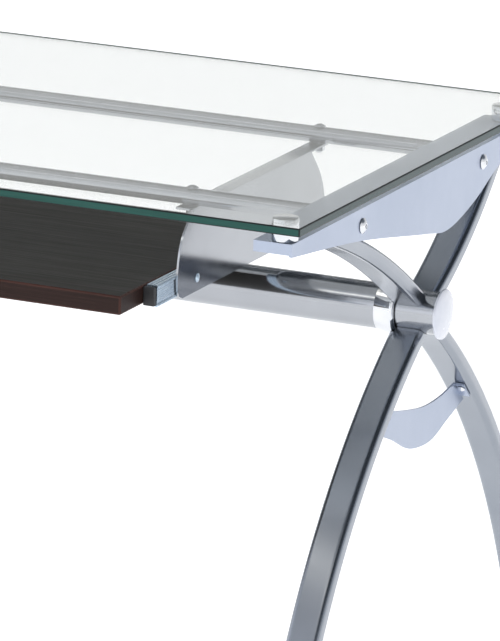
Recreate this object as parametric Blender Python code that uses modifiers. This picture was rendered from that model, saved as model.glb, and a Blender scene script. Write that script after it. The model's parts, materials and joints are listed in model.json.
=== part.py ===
"""Glass computer desk with a sliding keyboard tray, modelled in metres with +Z up.

The desk stands on the floor at Z = 0 with the user at -Y. +X is the desk's right side.
"""

import math

import bmesh
import bpy
from mathutils import Matrix, Vector

# Overall size
DESK_WIDTH = 1.200
DESK_DEPTH = 0.7248
DESK_HEIGHT = 0.750
GAP = 0.0003

# Glass top and the standoffs that carry it
GLASS_DEPTH = 0.600
GLASS_THICKNESS = 0.008
GLASS_ARRIS = 0.0010
STANDOFF_RADIUS = 0.0125
STANDOFF_HEIGHT = 0.0155
STANDOFF_SIDE_INSET = 0.0325
STANDOFF_END_INSET = 0.042

# Side plates: a pressed sheet with an inward top flange and two short end lips
SHEET = 0.003
PLATE_INSET = 0.020
FLANGE_WIDTH = 0.038
PLATE_FRONT = 0.0295
PLATE_REAR = 0.5705
PLATE_END_DROP = 0.0355
LIP_DROP = 0.0340
PLATE_WAVE = [(0.182, 0.0540), (0.336, 0.0815), (0.394, 0.0895), (0.457, 0.0758), (0.510, 0.0550)]

# Cross tubes and the screws that hold their ends to the side plates
TUBE_RADIUS = 0.008
TUBE_BORE = 0.0068
TUBE_DROP = 0.0405
TUBE_BACKS = {"front": 0.187, "rear": 0.4765}
TUBE_PLUG = 0.016
SCREW_RADIUS = 0.003
SCREW_HOLE = SCREW_RADIUS + GAP
SIDE_SCREW_HEAD = 0.0075
SIDE_SCREW_DOME = 0.0042
SIDE_SCREW_LENGTH = 0.016
SIDE_SCREW_SOCKET = 0.0025

# Keyboard brackets: a curved web with an inward top flange, hung from both cross tubes
BRACKET_INSET = 0.185
BRACKET_SHEET = 0.002
BRACKET_FLANGE = 0.0175
BRACKET_FLANGE_FRONT = 0.172
BRACKET_FLANGE_REAR = 0.4905
BRACKET_BOLT_INSET = 0.1927
BRACKET_DROP = 0.1235
BRACKET_FRONT_CURVE = [(0.1680, 0.0488), (0.1500, 0.0700), (0.1428, 0.0980), (0.1432, 0.1150)]
BRACKET_FRONT_TOE = [(0.1465, 0.1205), (0.1530, 0.1235)]
BRACKET_REAR_CURVE = [(0.4790, 0.1215), (0.4745, 0.0990), (0.4640, 0.0760), (0.4400, 0.0488)]
BOLT_HEAD_RADIUS = 0.0062
BOLT_HEAD_DOME = 0.0030
NUT_RADIUS = 0.0057
NUT_HEIGHT = 0.0050
BOLT_TAIL = 0.0020

# Ball-bearing slides that carry the tray
SLIDE_HEIGHT = 0.021
SLIDE_DROP = 0.1107
SLIDE_DEPTH = 0.0112
SLIDE_WALL = 0.0012
SLIDE_LIP = 0.0020
SLIDE_FRONT = 0.1055
SLIDE_LENGTH = 0.250
RUNNER_HALF_HEIGHT = 0.0060
RUNNER_REACH = 0.0094
RUNNER_REAR = 0.3420
CAGE_OUTER = 0.0070
CAGE_INNER = 0.0063
CAGE_LENGTH = 0.054
CAGE_FRONT = 0.197
BUMPER_LENGTH = 0.0052
BUMPER_HALF_HEIGHT = 0.0090
SLIDE_SCREW_BACKS = {"front": 0.1845, "rear": 0.330}
SLIDE_SCREW_HEAD = 0.0045
SLIDE_SCREW_RADIUS = 0.0019
SLIDE_SCREW_DOME = 0.0022
SLIDE_SCREW_LENGTH = 0.0034

# Keyboard tray
TRAY_INSET = 0.2003
TRAY_FRONT = 0.0535
TRAY_REAR = 0.347
TRAY_DROP = 0.1007
TRAY_THICKNESS = 0.018
TRAY_ARRIS = 0.0020

# Stretcher tube, collars, hubs and end caps, all on one axis
HUB_BACK = 0.361
HUB_DROP = 0.164
HUB_RADIUS = 0.0207
HUB_WALL = 0.0025
HUB_INNER_INSET = 0.0557
HUB_OUTER_INSET = 0.0100
STRETCHER_RADIUS = 0.0222
STRETCHER_WALL = 0.0015
COLLAR_INNER_INSET = 0.0715
COLLAR_OUTER_INSET = 0.0505
COLLAR_SMALL_RADIUS = 0.0230
COLLAR_LARGE_RADIUS = 0.0270
CAP_RADIUS = 0.0243
CAP_RIM = 0.0022
CAP_DOME = 0.0028
CAP_PLUG = 0.012

# Legs: flat oval tube. Each half leg is an arc whose centre line passes the hub's axis at an offset,
# positive if it passes above. angle is the climb or fall from the horizontal at the hub, sweep the
# arc's extent, both in degrees. radius is measured from the hub's axis, and a negative radius and
# sweep bend the half leg upwards.
LEG_WIDTH = 0.033
LEG_THICKNESS = 0.017
LEG_CORNER = 0.006
LEG_WALL = 0.0015
LEG_INSET = 0.0233
LEG_STEP = 2.5
LEG_LEAST_STEPS = 6
HALF_LEGS = {
    "upper_front": {
        "ahead": -1, "climb": 1, "angle": 36.1, "radius": 0.864, "offset": 0.005, "sweep": 24.0,
        "trims": ("hub", "collar", "flange"),
    },
    "upper_rear": {
        "ahead": 1, "climb": 1, "angle": 22.9, "radius": -0.480, "offset": -0.0025, "sweep": -34.0,
        "trims": ("hub", "collar", "flange"),
    },
    "lower_front": {
        "ahead": -1, "climb": -1, "angle": 31.7, "radius": 0.711, "offset": -0.012, "sweep": 60.0,
        "trims": ("hub", "collar", "floor"),
    },
    "lower_rear": {
        "ahead": 1, "climb": -1, "angle": 32.1, "radius": 0.767, "offset": -0.0015, "sweep": 55.0,
        "trims": ("hub", "collar", "floor"),
    },
}
FOOT_HEIGHT = 0.006
GLIDE_DEPTH = 0.018

# Crescent braces between the lower half legs
BRACE_INSET = 0.039
BRACE_SHEET = 0.002
BRACE_GAP = 0.0006
BRACE_FRONT_DROPS = (0.2440, 0.2620)
BRACE_REAR_DROPS = (0.2620, 0.2840)
BRACE_UPPER = [(0.3180, 0.2530), (0.3840, 0.2660), (0.4300, 0.2672)]
BRACE_LOWER = [(0.4505, 0.2955), (0.4086, 0.3062), (0.3590, 0.3008), (0.3160, 0.2812)]
BRACE_TAB_WIDTH = 0.0105
BRACE_TAB_LENGTH = 0.022
BRACE_TAB_DROP = 0.2700
BRACE_SCREW_OFFSET = 0.0050
BRACE_SCREW_ALONG = -0.0040
BRACE_SCREW_HEAD = 0.0040
BRACE_SCREW_SHANK = 0.0019

SIDES = {"right": 1, "left": -1}
GLASS_FRONT_Y = -DESK_DEPTH / 2
FLANGE_TOP = DESK_HEIGHT - GLASS_THICKNESS - STANDOFF_HEIGHT
HUB_Y = GLASS_FRONT_Y + HUB_BACK
HUB_Z = DESK_HEIGHT - HUB_DROP

PALETTE = {
    "glass": ((0.62, 0.80, 0.76), 0.05, 0.0),
    "chrome": ((0.80, 0.80, 0.82), 0.10, 1.0),
    "silver_paint": ((0.56, 0.58, 0.62), 0.30, 0.75),
    "plate_paint": ((0.52, 0.55, 0.64), 0.38, 0.55),
    "zinc": ((0.46, 0.52, 0.60), 0.30, 0.90),
    "espresso": ((0.045, 0.040, 0.036), 0.42, 0.0),
    "cap_gloss": ((0.80, 0.82, 0.88), 0.18, 0.6),
    "black_plastic": ((0.020, 0.020, 0.022), 0.50, 0.0),
}


def back(distance):
    """Y of a point this far behind the glass's front edge."""
    return GLASS_FRONT_Y + distance


def below(distance):
    """Z of a point this far under the glass's top face."""
    return DESK_HEIGHT - distance


def inset(distance):
    """X of a point this far inside the glass's right edge."""
    return DESK_WIDTH / 2 - distance


def clear_scene():
    for old in list(bpy.data.objects):
        bpy.data.objects.remove(old, do_unlink=True)


def new_collection(name):
    collection = bpy.data.collections.new(name)
    bpy.context.scene.collection.children.link(collection)
    return collection


def make_materials():
    materials = {}
    for name, (colour, roughness, metallic) in PALETTE.items():
        material = bpy.data.materials.new(name)
        material.use_nodes = True
        shader = material.node_tree.nodes["Principled BSDF"]
        shader.inputs["Base Color"].default_value = (*colour, 1.0)
        shader.inputs["Roughness"].default_value = roughness
        shader.inputs["Metallic"].default_value = metallic
        materials[name] = material
    return materials


clear_scene()
DESK = new_collection("computer_desk")
CUTTERS = new_collection("cutters")
MATERIALS = make_materials()


def place(name, mesh, finish, location=(0.0, 0.0, 0.0)):
    """Links a mesh as a named sub-part with its finish."""
    part = bpy.data.objects.new(name, mesh)
    part.location = location
    mesh.materials.clear()
    mesh.materials.append(MATERIALS[finish])
    DESK.objects.link(part)
    mesh.shade_smooth()
    mesh.set_sharp_from_angle(angle=math.radians(30))
    return part


def as_cutter(part):
    """Moves a shape to the cutters, where it only shapes others."""
    DESK.objects.unlink(part)
    CUTTERS.objects.link(part)
    part.hide_render = True
    part.display_type = "WIRE"
    return part


def boolean(part, other, operation):
    modifier = part.modifiers.new(operation.lower() + "_" + other.name, "BOOLEAN")
    modifier.operation = operation
    modifier.solver = "EXACT"
    modifier.object = other


def cut(part, *cutters):
    for cutter in cutters:
        boolean(part, cutter, "DIFFERENCE")


def join(part, *others):
    for other in others:
        boolean(part, as_cutter(other), "UNION")


def bevel(part, width, segments=2):
    modifier = part.modifiers.new("bevel", "BEVEL")
    modifier.width = width
    modifier.segments = segments
    modifier.limit_method = "ANGLE"
    modifier.angle_limit = math.radians(40)


def evaluated_mesh(part):
    """The part's mesh with its modifiers applied, in its own axes."""
    bpy.context.view_layer.update()
    graph = bpy.context.evaluated_depsgraph_get()
    return bpy.data.meshes.new_from_object(part.evaluated_get(graph))


def settle(part):
    """Replaces a part's mesh by its evaluated mesh, so that copies can share it."""
    mesh = evaluated_mesh(part)
    part.modifiers.clear()
    part.data = mesh
    return part


def copy_part(part, name, location):
    """Another sub-part with the same mesh."""
    twin = bpy.data.objects.new(name, part.data)
    twin.location = location
    DESK.objects.link(twin)
    return twin


def mirror_part(part, name):
    """The left-hand twin of a right-hand sub-part."""
    mesh = part.data.copy()
    mesh.transform(Matrix.Scale(-1.0, 4, Vector((1, 0, 0))))
    mesh.flip_normals()
    twin = bpy.data.objects.new(name, mesh)
    twin.location = (-part.location.x, part.location.y, part.location.z)
    DESK.objects.link(twin)
    return twin


def box(name, low, high, finish):
    low, high = Vector(low), Vector(high)
    shape = bmesh.new()
    bmesh.ops.create_cube(shape, size=1.0)
    bmesh.ops.scale(shape, vec=high - low, verts=shape.verts)
    mesh = bpy.data.meshes.new(name)
    shape.to_mesh(mesh)
    shape.free()
    return place(name, mesh, finish, (low + high) / 2)


AXIS_TURNS = {
    "X": Matrix.Rotation(math.radians(90), 4, "Y"),
    "Z": Matrix.Identity(4),
}


def rod(name, radius, length, centre, axis, finish, segments=24):
    """A plain cylinder along X or Z."""
    shape = bmesh.new()
    bmesh.ops.create_cone(
        shape, cap_ends=True, segments=segments, radius1=radius, radius2=radius, depth=length
    )
    bmesh.ops.transform(shape, matrix=AXIS_TURNS[axis], verts=shape.verts)
    mesh = bpy.data.meshes.new(name)
    shape.to_mesh(mesh)
    shape.free()
    return place(name, mesh, finish, centre)


def turned(name, profile, location, axis, finish, steps=32):
    """A profile of (radius, height) points turned about its axis, top to bottom outside."""
    mesh = bpy.data.meshes.new(name)
    points = [(radius, 0.0, height) for radius, height in profile]
    closed = profile[0][0] > 0.0
    edges = [(i, i + 1) for i in range(len(points) - 1)]
    if closed:
        edges.append((len(points) - 1, 0))
    mesh.from_pydata(points, edges, [])
    part = place(name, mesh, finish, location)
    screw = part.modifiers.new("turn", "SCREW")
    screw.steps = steps
    screw.render_steps = steps
    screw.use_merge_vertices = True
    screw.merge_threshold = 0.00001
    settle(part)
    part.data.transform(AXIS_TURNS[axis])
    return part


def dome(radius, rise, count):
    """Points of a shallow dome from its crown at (0, rise) to its rim at (radius, 0)."""
    sphere = (radius * radius + rise * rise) / (2 * rise)
    sweep = math.asin(min(1.0, radius / sphere))
    angles = [sweep * i / count for i in range(count + 1)]
    return [(sphere * math.sin(a), rise - sphere * (1 - math.cos(a))) for a in angles]


def smooth_line(points, steps=7):
    """A rounded line through the points, as a Catmull-Rom curve."""
    ends = [tuple(2 * a - b for a, b in zip(points[0], points[1]))]
    ends.append(tuple(2 * a - b for a, b in zip(points[-1], points[-2])))
    run = [ends[0], *points, ends[1]]
    line = []
    for p0, p1, p2, p3 in zip(run, run[1:], run[2:], run[3:]):
        for i in range(steps):
            t = i / steps
            line.append(tuple(
                0.5 * (2 * b + (c - a) * t + (2 * a - 5 * b + 4 * c - d) * t ** 2
                       + (3 * b - a - 3 * c + d) * t ** 3)
                for a, b, c, d in zip(p0, p1, p2, p3)
            ))
    return [*line, tuple(points[-1])]


OUTLINE_TURNS = {
    "flat": Matrix.Identity(4),
    "side": Matrix(((0, 0, 1, 0), (1, 0, 0, 0), (0, 1, 0, 0), (0, 0, 0, 1))),
    "front": Matrix(((1, 0, 0, 0), (0, 0, -1, 0), (0, 1, 0, 0), (0, 0, 0, 1))),
}


def plate(name, outline, thickness, centre, facing, finish):
    """A flat outline with a thickness: (Y, Z) points if it faces the side, (X, Z) the front."""
    curve = bpy.data.curves.new(name, "CURVE")
    curve.dimensions = "2D"
    curve.fill_mode = "BOTH"
    curve.extrude = thickness / 2
    spline = curve.splines.new("POLY")
    spline.points.add(len(outline) - 1)
    for point, (u, v) in zip(spline.points, outline):
        point.co = (u, v, 0.0, 1.0)
    spline.use_cyclic_u = True
    drawn = bpy.data.objects.new(name + "_outline", curve)
    DESK.objects.link(drawn)
    mesh = evaluated_mesh(drawn)
    bpy.data.objects.remove(drawn, do_unlink=True)
    shape = bmesh.new()
    shape.from_mesh(mesh)
    bmesh.ops.remove_doubles(shape, verts=shape.verts, dist=0.00001)
    bmesh.ops.transform(shape, matrix=OUTLINE_TURNS[facing], verts=shape.verts)
    bmesh.ops.recalc_face_normals(shape, faces=shape.faces)
    shape.to_mesh(mesh)
    shape.free()
    return place(name, mesh, finish, centre)


def rounded_rectangle(width, height, radius, corner_steps=2):
    """Corner points of a rectangle with round corners, about its centre."""
    centres = [(1, 1, 0), (-1, 1, 90), (-1, -1, 180), (1, -1, 270)]
    points = []
    for sx, sy, start in centres:
        for i in range(corner_steps + 1):
            angle = math.radians(start + 90 * i / corner_steps)
            u = sx * (width / 2 - radius) + radius * math.cos(angle)
            v = sy * (height / 2 - radius) + radius * math.sin(angle)
            points.append((u, v))
    return points


# ------------------------------------------------------------------ top


def make_glass():
    glass = box(
        "glass_top",
        (-DESK_WIDTH / 2, GLASS_FRONT_Y, below(GLASS_THICKNESS)),
        (DESK_WIDTH / 2, back(GLASS_DEPTH), DESK_HEIGHT),
        "glass",
    )
    bevel(glass, GLASS_ARRIS)


def make_standoffs():
    half = STANDOFF_HEIGHT / 2 - GAP
    edge = 0.0008
    profile = [
        (0.0, half),
        (STANDOFF_RADIUS - edge, half),
        (STANDOFF_RADIUS, half - edge),
        (STANDOFF_RADIUS, -half + edge),
        (STANDOFF_RADIUS - edge, -half),
        (0.0, -half),
    ]
    height = FLANGE_TOP + STANDOFF_HEIGHT / 2
    ends = {"front": STANDOFF_END_INSET, "rear": GLASS_DEPTH - STANDOFF_END_INSET}
    first = turned("standoff_pattern", profile, (0, 0, 0), "Z", "chrome", 40)
    for end, distance in ends.items():
        for side, sign in SIDES.items():
            spot = (sign * inset(STANDOFF_SIDE_INSET), back(distance), height)
            copy_part(first, f"standoff_{end}_{side}", spot)
    bpy.data.objects.remove(first, do_unlink=True)


# ------------------------------------------------------------------ side plates and cross tubes


def make_side_plates():
    outer = inset(PLATE_INSET)
    wave = smooth_line([(PLATE_FRONT, PLATE_END_DROP), *PLATE_WAVE, (PLATE_REAR, PLATE_END_DROP)])
    corners = [(back(y), below(z)) for y, z in wave]
    outline = [*corners, (back(PLATE_REAR), FLANGE_TOP), (back(PLATE_FRONT), FLANGE_TOP)]
    web = plate("side_plate_right", outline, SHEET, (outer - SHEET / 2, 0, 0), "side", "plate_paint")
    inner = outer - FLANGE_WIDTH
    flange = box(
        "flange_right",
        (inner, back(PLATE_FRONT), FLANGE_TOP - SHEET),
        (outer - SHEET / 2, back(PLATE_REAR), FLANGE_TOP),
        "plate_paint",
    )
    lips = []
    for end, near, far in (
        ("front", PLATE_FRONT, PLATE_FRONT + SHEET),
        ("rear", PLATE_REAR - SHEET, PLATE_REAR),
    ):
        lips.append(box(
            f"lip_{end}_right",
            (inner, back(near), below(LIP_DROP)),
            (outer - SHEET / 2, back(far), FLANGE_TOP - SHEET / 2),
            "plate_paint",
        ))
    join(web, flange, *lips)
    for end, distance in TUBE_BACKS.items():
        spot = (outer - SHEET / 2, back(distance), below(TUBE_DROP))
        hole = as_cutter(rod(f"hole_{end}_side_screw", SCREW_HOLE, 3 * SHEET, spot, "X", "chrome"))
        cut(web, hole)
    settle(web)
    mirror_part(web, "side_plate_left")


def make_cross_tubes():
    half = inset(PLATE_INSET + SHEET) - GAP
    profile = [
        (TUBE_RADIUS, half),
        (TUBE_RADIUS, -half),
        (SCREW_HOLE, -half),
        (SCREW_HOLE, -half + TUBE_PLUG),
        (TUBE_BORE, -half + TUBE_PLUG),
        (TUBE_BORE, half - TUBE_PLUG),
        (SCREW_HOLE, half - TUBE_PLUG),
        (SCREW_HOLE, half),
    ]
    first = turned("tube_pattern", profile, (0, 0, 0), "X", "silver_paint", 24)
    for side, sign in SIDES.items():
        spot = (sign * inset(BRACKET_BOLT_INSET), 0, 0)
        hole = rod(f"hole_tube_{side}", SCREW_HOLE, 4 * TUBE_RADIUS, spot, "Z", "chrome", 16)
        cut(first, as_cutter(hole))
    settle(first)
    for end, distance in TUBE_BACKS.items():
        copy_part(first, f"cross_tube_{end}", (0, back(distance), below(TUBE_DROP)))
    bpy.data.objects.remove(first, do_unlink=True)


def make_side_screws():
    """Button-head screws with a hex socket, from outside each plate into a tube's end."""
    shank_end = -SIDE_SCREW_LENGTH
    profile = dome(SIDE_SCREW_HEAD, SIDE_SCREW_DOME, 3)
    profile[-1] = (SIDE_SCREW_HEAD, GAP + 0.0005)
    profile += [(SIDE_SCREW_HEAD - 0.0003, GAP), (SCREW_RADIUS, GAP)]
    profile += [(SCREW_RADIUS, shank_end), (0.0, shank_end)]
    first = turned("side_screw_pattern", profile, (0, 0, 0), "X", "chrome", 20)
    spot = (SIDE_SCREW_DOME, 0, 0)
    socket = rod("hole_socket", SIDE_SCREW_SOCKET, 0.005, spot, "X", "chrome", 6)
    cut(first, as_cutter(socket))
    settle(first)
    outer = inset(PLATE_INSET)
    for end, distance in TUBE_BACKS.items():
        spot = (outer, back(distance), below(TUBE_DROP))
        right = copy_part(first, f"side_screw_{end}_right", spot)
        mirror_part(right, f"side_screw_{end}_left")
    bpy.data.objects.remove(first, do_unlink=True)


# ------------------------------------------------------------------ keyboard brackets


def make_brackets():
    outer = inset(BRACKET_INSET)
    top = below(TUBE_DROP + TUBE_RADIUS) - GAP
    front = [*smooth_line(BRACKET_FRONT_CURVE), *BRACKET_FRONT_TOE]
    rear = smooth_line([(0.4790, BRACKET_DROP), *BRACKET_REAR_CURVE])
    outline = [(back(y), min(below(z), top)) for y, z in [*front, *rear]]
    spot = (outer - BRACKET_SHEET / 2, 0, 0)
    web = plate("keyboard_bracket_right", outline, BRACKET_SHEET, spot, "side", "silver_paint")
    flange = box(
        "bracket_flange",
        (outer - BRACKET_FLANGE, back(BRACKET_FLANGE_FRONT), top - BRACKET_SHEET),
        (outer - BRACKET_SHEET / 2, back(BRACKET_FLANGE_REAR), top),
        "silver_paint",
    )
    join(web, flange)
    for end, distance in TUBE_BACKS.items():
        spot = (inset(BRACKET_BOLT_INSET), back(distance), top)
        cut(web, as_cutter(rod(f"hole_bracket_{end}", SCREW_HOLE, 0.01, spot, "Z", "chrome", 16)))
    for end, distance in SLIDE_SCREW_BACKS.items():
        spot = (outer, back(distance), below(SLIDE_DROP))
        hole = rod(f"hole_slide_{end}", SLIDE_SCREW_RADIUS + GAP, 0.01, spot, "X", "chrome", 16)
        cut(web, as_cutter(hole))
    settle(web)
    mirror_part(web, "keyboard_bracket_left")


def make_bracket_bolts():
    """Machine screws down through each cross tube and bracket flange, with a nut below."""
    reach = 2 * TUBE_RADIUS + 2 * GAP + BRACKET_SHEET + NUT_HEIGHT + BOLT_TAIL
    profile = dome(BOLT_HEAD_RADIUS, BOLT_HEAD_DOME, 3)
    profile[-1] = (BOLT_HEAD_RADIUS, GAP + 0.0004)
    profile += [(BOLT_HEAD_RADIUS - 0.0003, GAP), (SCREW_RADIUS, GAP)]
    profile += [(SCREW_RADIUS, -reach), (0.0, -reach)]
    bolt = turned("bolt_pattern", profile, (0, 0, 0), "Z", "chrome", 16)
    nut = rod("nut_pattern", NUT_RADIUS, NUT_HEIGHT, (0, 0, 0), "Z", "chrome", 6)
    bore = rod("hole_nut", SCREW_HOLE, 3 * NUT_HEIGHT, (0, 0, 0), "Z", "chrome", 16)
    cut(nut, as_cutter(bore))
    settle(nut)
    tube_top = below(TUBE_DROP - TUBE_RADIUS)
    nut_middle = below(TUBE_DROP + TUBE_RADIUS) - 2 * GAP - BRACKET_SHEET - NUT_HEIGHT / 2
    for end, distance in TUBE_BACKS.items():
        for side, sign in SIDES.items():
            x, y = sign * inset(BRACKET_BOLT_INSET), back(distance)
            copy_part(bolt, f"bracket_bolt_{end}_{side}", (x, y, tube_top))
            copy_part(nut, f"bracket_nut_{end}_{side}", (x, y, nut_middle))
    bpy.data.objects.remove(bolt, do_unlink=True)
    bpy.data.objects.remove(nut, do_unlink=True)


# ------------------------------------------------------------------ slides and tray


def channel_section(outer_x, inner_x, half_height, wall, lip):
    """A C section open towards inner_x, with lips that turn towards its middle."""
    upper = [
        (outer_x, half_height),
        (inner_x, half_height),
        (inner_x, half_height - wall - lip),
        (inner_x + wall, half_height - wall - lip),
        (inner_x + wall, half_height - wall),
        (outer_x - wall, half_height - wall),
    ]
    lower = [(x, -z) for x, z in reversed(upper)]
    return [*upper, *lower]


def open_section(web_x, tip_x, outer, wall):
    """A plain C section whose web stands at web_x and whose legs end at tip_x."""
    inward = math.copysign(wall, tip_x - web_x)
    upper = [(web_x, outer), (tip_x, outer), (tip_x, outer - wall), (web_x + inward, outer - wall)]
    lower = [(x, -z) for x, z in reversed(upper)]
    return [*upper, *lower]


def slide_bar(name, section, front, rear, finish):
    centre = (0, back((front + rear) / 2), below(SLIDE_DROP))
    return plate(name, section, rear - front, centre, "front", finish)


def make_slide_channels():
    outer = inset(BRACKET_INSET + BRACKET_SHEET) - GAP
    section = channel_section(outer, outer - SLIDE_DEPTH, SLIDE_HEIGHT / 2, SLIDE_WALL, SLIDE_LIP)
    rear = SLIDE_FRONT + SLIDE_LENGTH
    right = slide_bar("slide_channel_right", section, SLIDE_FRONT, rear, "zinc")
    for end, distance in SLIDE_SCREW_BACKS.items():
        spot = (outer, back(distance), below(SLIDE_DROP))
        hole = rod(f"hole_channel_{end}", SLIDE_SCREW_RADIUS + GAP, 0.006, spot, "X", "chrome", 16)
        cut(right, as_cutter(hole))
    settle(right)
    mirror_part(right, "slide_channel_left")


def make_slide_screws():
    """Pan-head screws from outside the bracket into the slide channel's web."""
    profile = dome(SLIDE_SCREW_HEAD, SLIDE_SCREW_DOME, 3)
    profile[-1] = (SLIDE_SCREW_HEAD, GAP + 0.0003)
    profile += [(SLIDE_SCREW_HEAD - 0.0003, GAP), (SLIDE_SCREW_RADIUS, GAP)]
    profile += [(SLIDE_SCREW_RADIUS, -SLIDE_SCREW_LENGTH), (0.0, -SLIDE_SCREW_LENGTH)]
    first = turned("slide_screw_pattern", profile, (0, 0, 0), "X", "chrome", 16)
    for end, distance in SLIDE_SCREW_BACKS.items():
        spot = (inset(BRACKET_INSET), back(distance), below(SLIDE_DROP))
        right = copy_part(first, f"slide_screw_{end}_right", spot)
        mirror_part(right, f"slide_screw_{end}_left")
    bpy.data.objects.remove(first, do_unlink=True)


def make_tray_and_runners():
    """The tray with its slide runners and front bumpers, which travel together towards -Y."""
    edge = inset(TRAY_INSET)
    tray = box(
        "keyboard_tray",
        (-edge, back(TRAY_FRONT), below(TRAY_DROP + TRAY_THICKNESS)),
        (edge, back(TRAY_REAR), below(TRAY_DROP)),
        "espresso",
    )
    bevel(tray, TRAY_ARRIS)
    runner_web = edge + GAP
    front = SLIDE_FRONT + GAP
    section = open_section(runner_web, runner_web + RUNNER_REACH, RUNNER_HALF_HEIGHT, SLIDE_WALL)
    runner = slide_bar("slide_runner_right", section, front, RUNNER_REAR, "zinc")
    channel_outer = inset(BRACKET_INSET + BRACKET_SHEET) - GAP
    bumper_back = SLIDE_FRONT - GAP
    bumper = box(
        "slide_bumper_right",
        (runner_web, back(bumper_back - BUMPER_LENGTH), below(SLIDE_DROP + BUMPER_HALF_HEIGHT)),
        (channel_outer - SLIDE_WALL, back(bumper_back), below(SLIDE_DROP - BUMPER_HALF_HEIGHT)),
        "black_plastic",
    )
    mirror_part(runner, "slide_runner_left")
    mirror_part(bumper, "slide_bumper_left")


def make_slide_cages():
    """Ball cages between channel and runner, which travel half as far as the tray."""
    channel_outer = inset(BRACKET_INSET + BRACKET_SHEET) - GAP
    web = channel_outer - SLIDE_WALL - GAP
    tip = inset(TRAY_INSET) + 2 * GAP + SLIDE_WALL + 0.002
    section = open_section(web, tip, CAGE_OUTER, CAGE_OUTER - CAGE_INNER)
    right = slide_bar("slide_cage_right", section, CAGE_FRONT, CAGE_FRONT + CAGE_LENGTH, "black_plastic")
    mirror_part(right, "slide_cage_left")


# ------------------------------------------------------------------ stretcher and hubs


def make_stretcher():
    half = inset(HUB_INNER_INSET) - GAP
    bore = STRETCHER_RADIUS - STRETCHER_WALL
    profile = [(STRETCHER_RADIUS, half), (STRETCHER_RADIUS, -half), (bore, -half), (bore, half)]
    turned("stretcher_tube", profile, (0, HUB_Y, HUB_Z), "X", "silver_paint", 48)


def make_collars():
    inner, outer = inset(COLLAR_INNER_INSET), inset(COLLAR_OUTER_INSET)
    length = outer - inner
    bore = STRETCHER_RADIUS + GAP
    profile = [
        (COLLAR_LARGE_RADIUS - 0.0025, length),
        (COLLAR_LARGE_RADIUS, length - 0.0020),
        (COLLAR_LARGE_RADIUS, length - 0.0035),
        (COLLAR_SMALL_RADIUS, 0.0),
        (bore, 0.0),
        (bore, length),
    ]
    right = turned("collar_right", profile, (inner, HUB_Y, HUB_Z), "X", "chrome", 40)
    mirror_part(right, "collar_left")


def make_hubs():
    inner, outer = inset(HUB_INNER_INSET), inset(HUB_OUTER_INSET)
    bore = HUB_RADIUS - HUB_WALL
    length = outer - inner
    profile = [(HUB_RADIUS, length), (HUB_RADIUS, 0.0), (bore, 0.0), (bore, length)]
    right = turned("hub_right", profile, (inner, HUB_Y, HUB_Z), "X", "silver_paint", 48)
    mirror_part(right, "hub_left")


def make_end_caps():
    """Domed caps with a rim over the hub's end and a plug inside it."""
    plug = HUB_RADIUS - HUB_WALL - GAP
    crown = [(r, CAP_RIM + h) for r, h in dome(CAP_RADIUS - 0.001, CAP_DOME, 4)]
    profile = [*crown, (CAP_RADIUS, CAP_RIM - 0.0006), (CAP_RADIUS, 0.0), (plug, 0.0), (plug, -CAP_PLUG)]
    profile.append((0.0, -CAP_PLUG))
    spot = (inset(HUB_OUTER_INSET) + GAP, HUB_Y, HUB_Z)
    right = turned("end_cap_right", profile, spot, "X", "cap_gloss", 40)
    mirror_part(right, "end_cap_left")


# ------------------------------------------------------------------ legs


def arc_centre(leg):
    """Centre of curvature (Y, Z) of a half leg: below the hub, or above it if the radius is negative."""
    start = math.radians(leg["angle"])
    y = HUB_Y + leg["climb"] * leg["ahead"] * leg["radius"] * math.sin(start)
    return y, HUB_Z - leg["radius"] * math.cos(start)


def leg_tube(name, leg, section, steps, finish):
    """A closed section swept along a half leg's arc, from the hub's axis outwards."""
    centre_y, centre_z = arc_centre(leg)
    out_y = (HUB_Y - centre_y) / leg["radius"]
    out_z = (HUB_Z - centre_z) / leg["radius"]
    shape = bmesh.new()
    lifted = [(x, v + leg["offset"]) for x, v in section]
    ring = [shape.verts.new((x, HUB_Y + v * out_y, HUB_Z + v * out_z)) for x, v in lifted]
    face = shape.faces.new(ring)
    bmesh.ops.spin(
        shape,
        geom=[face, *face.edges, *face.verts],
        cent=(0, centre_y, centre_z),
        axis=(1, 0, 0),
        angle=-leg["ahead"] * math.radians(leg["sweep"]),
        steps=steps,
    )
    bmesh.ops.recalc_face_normals(shape, faces=shape.faces)
    mesh = bpy.data.meshes.new(name)
    shape.to_mesh(mesh)
    shape.free()
    return place(name, mesh, finish)


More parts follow.
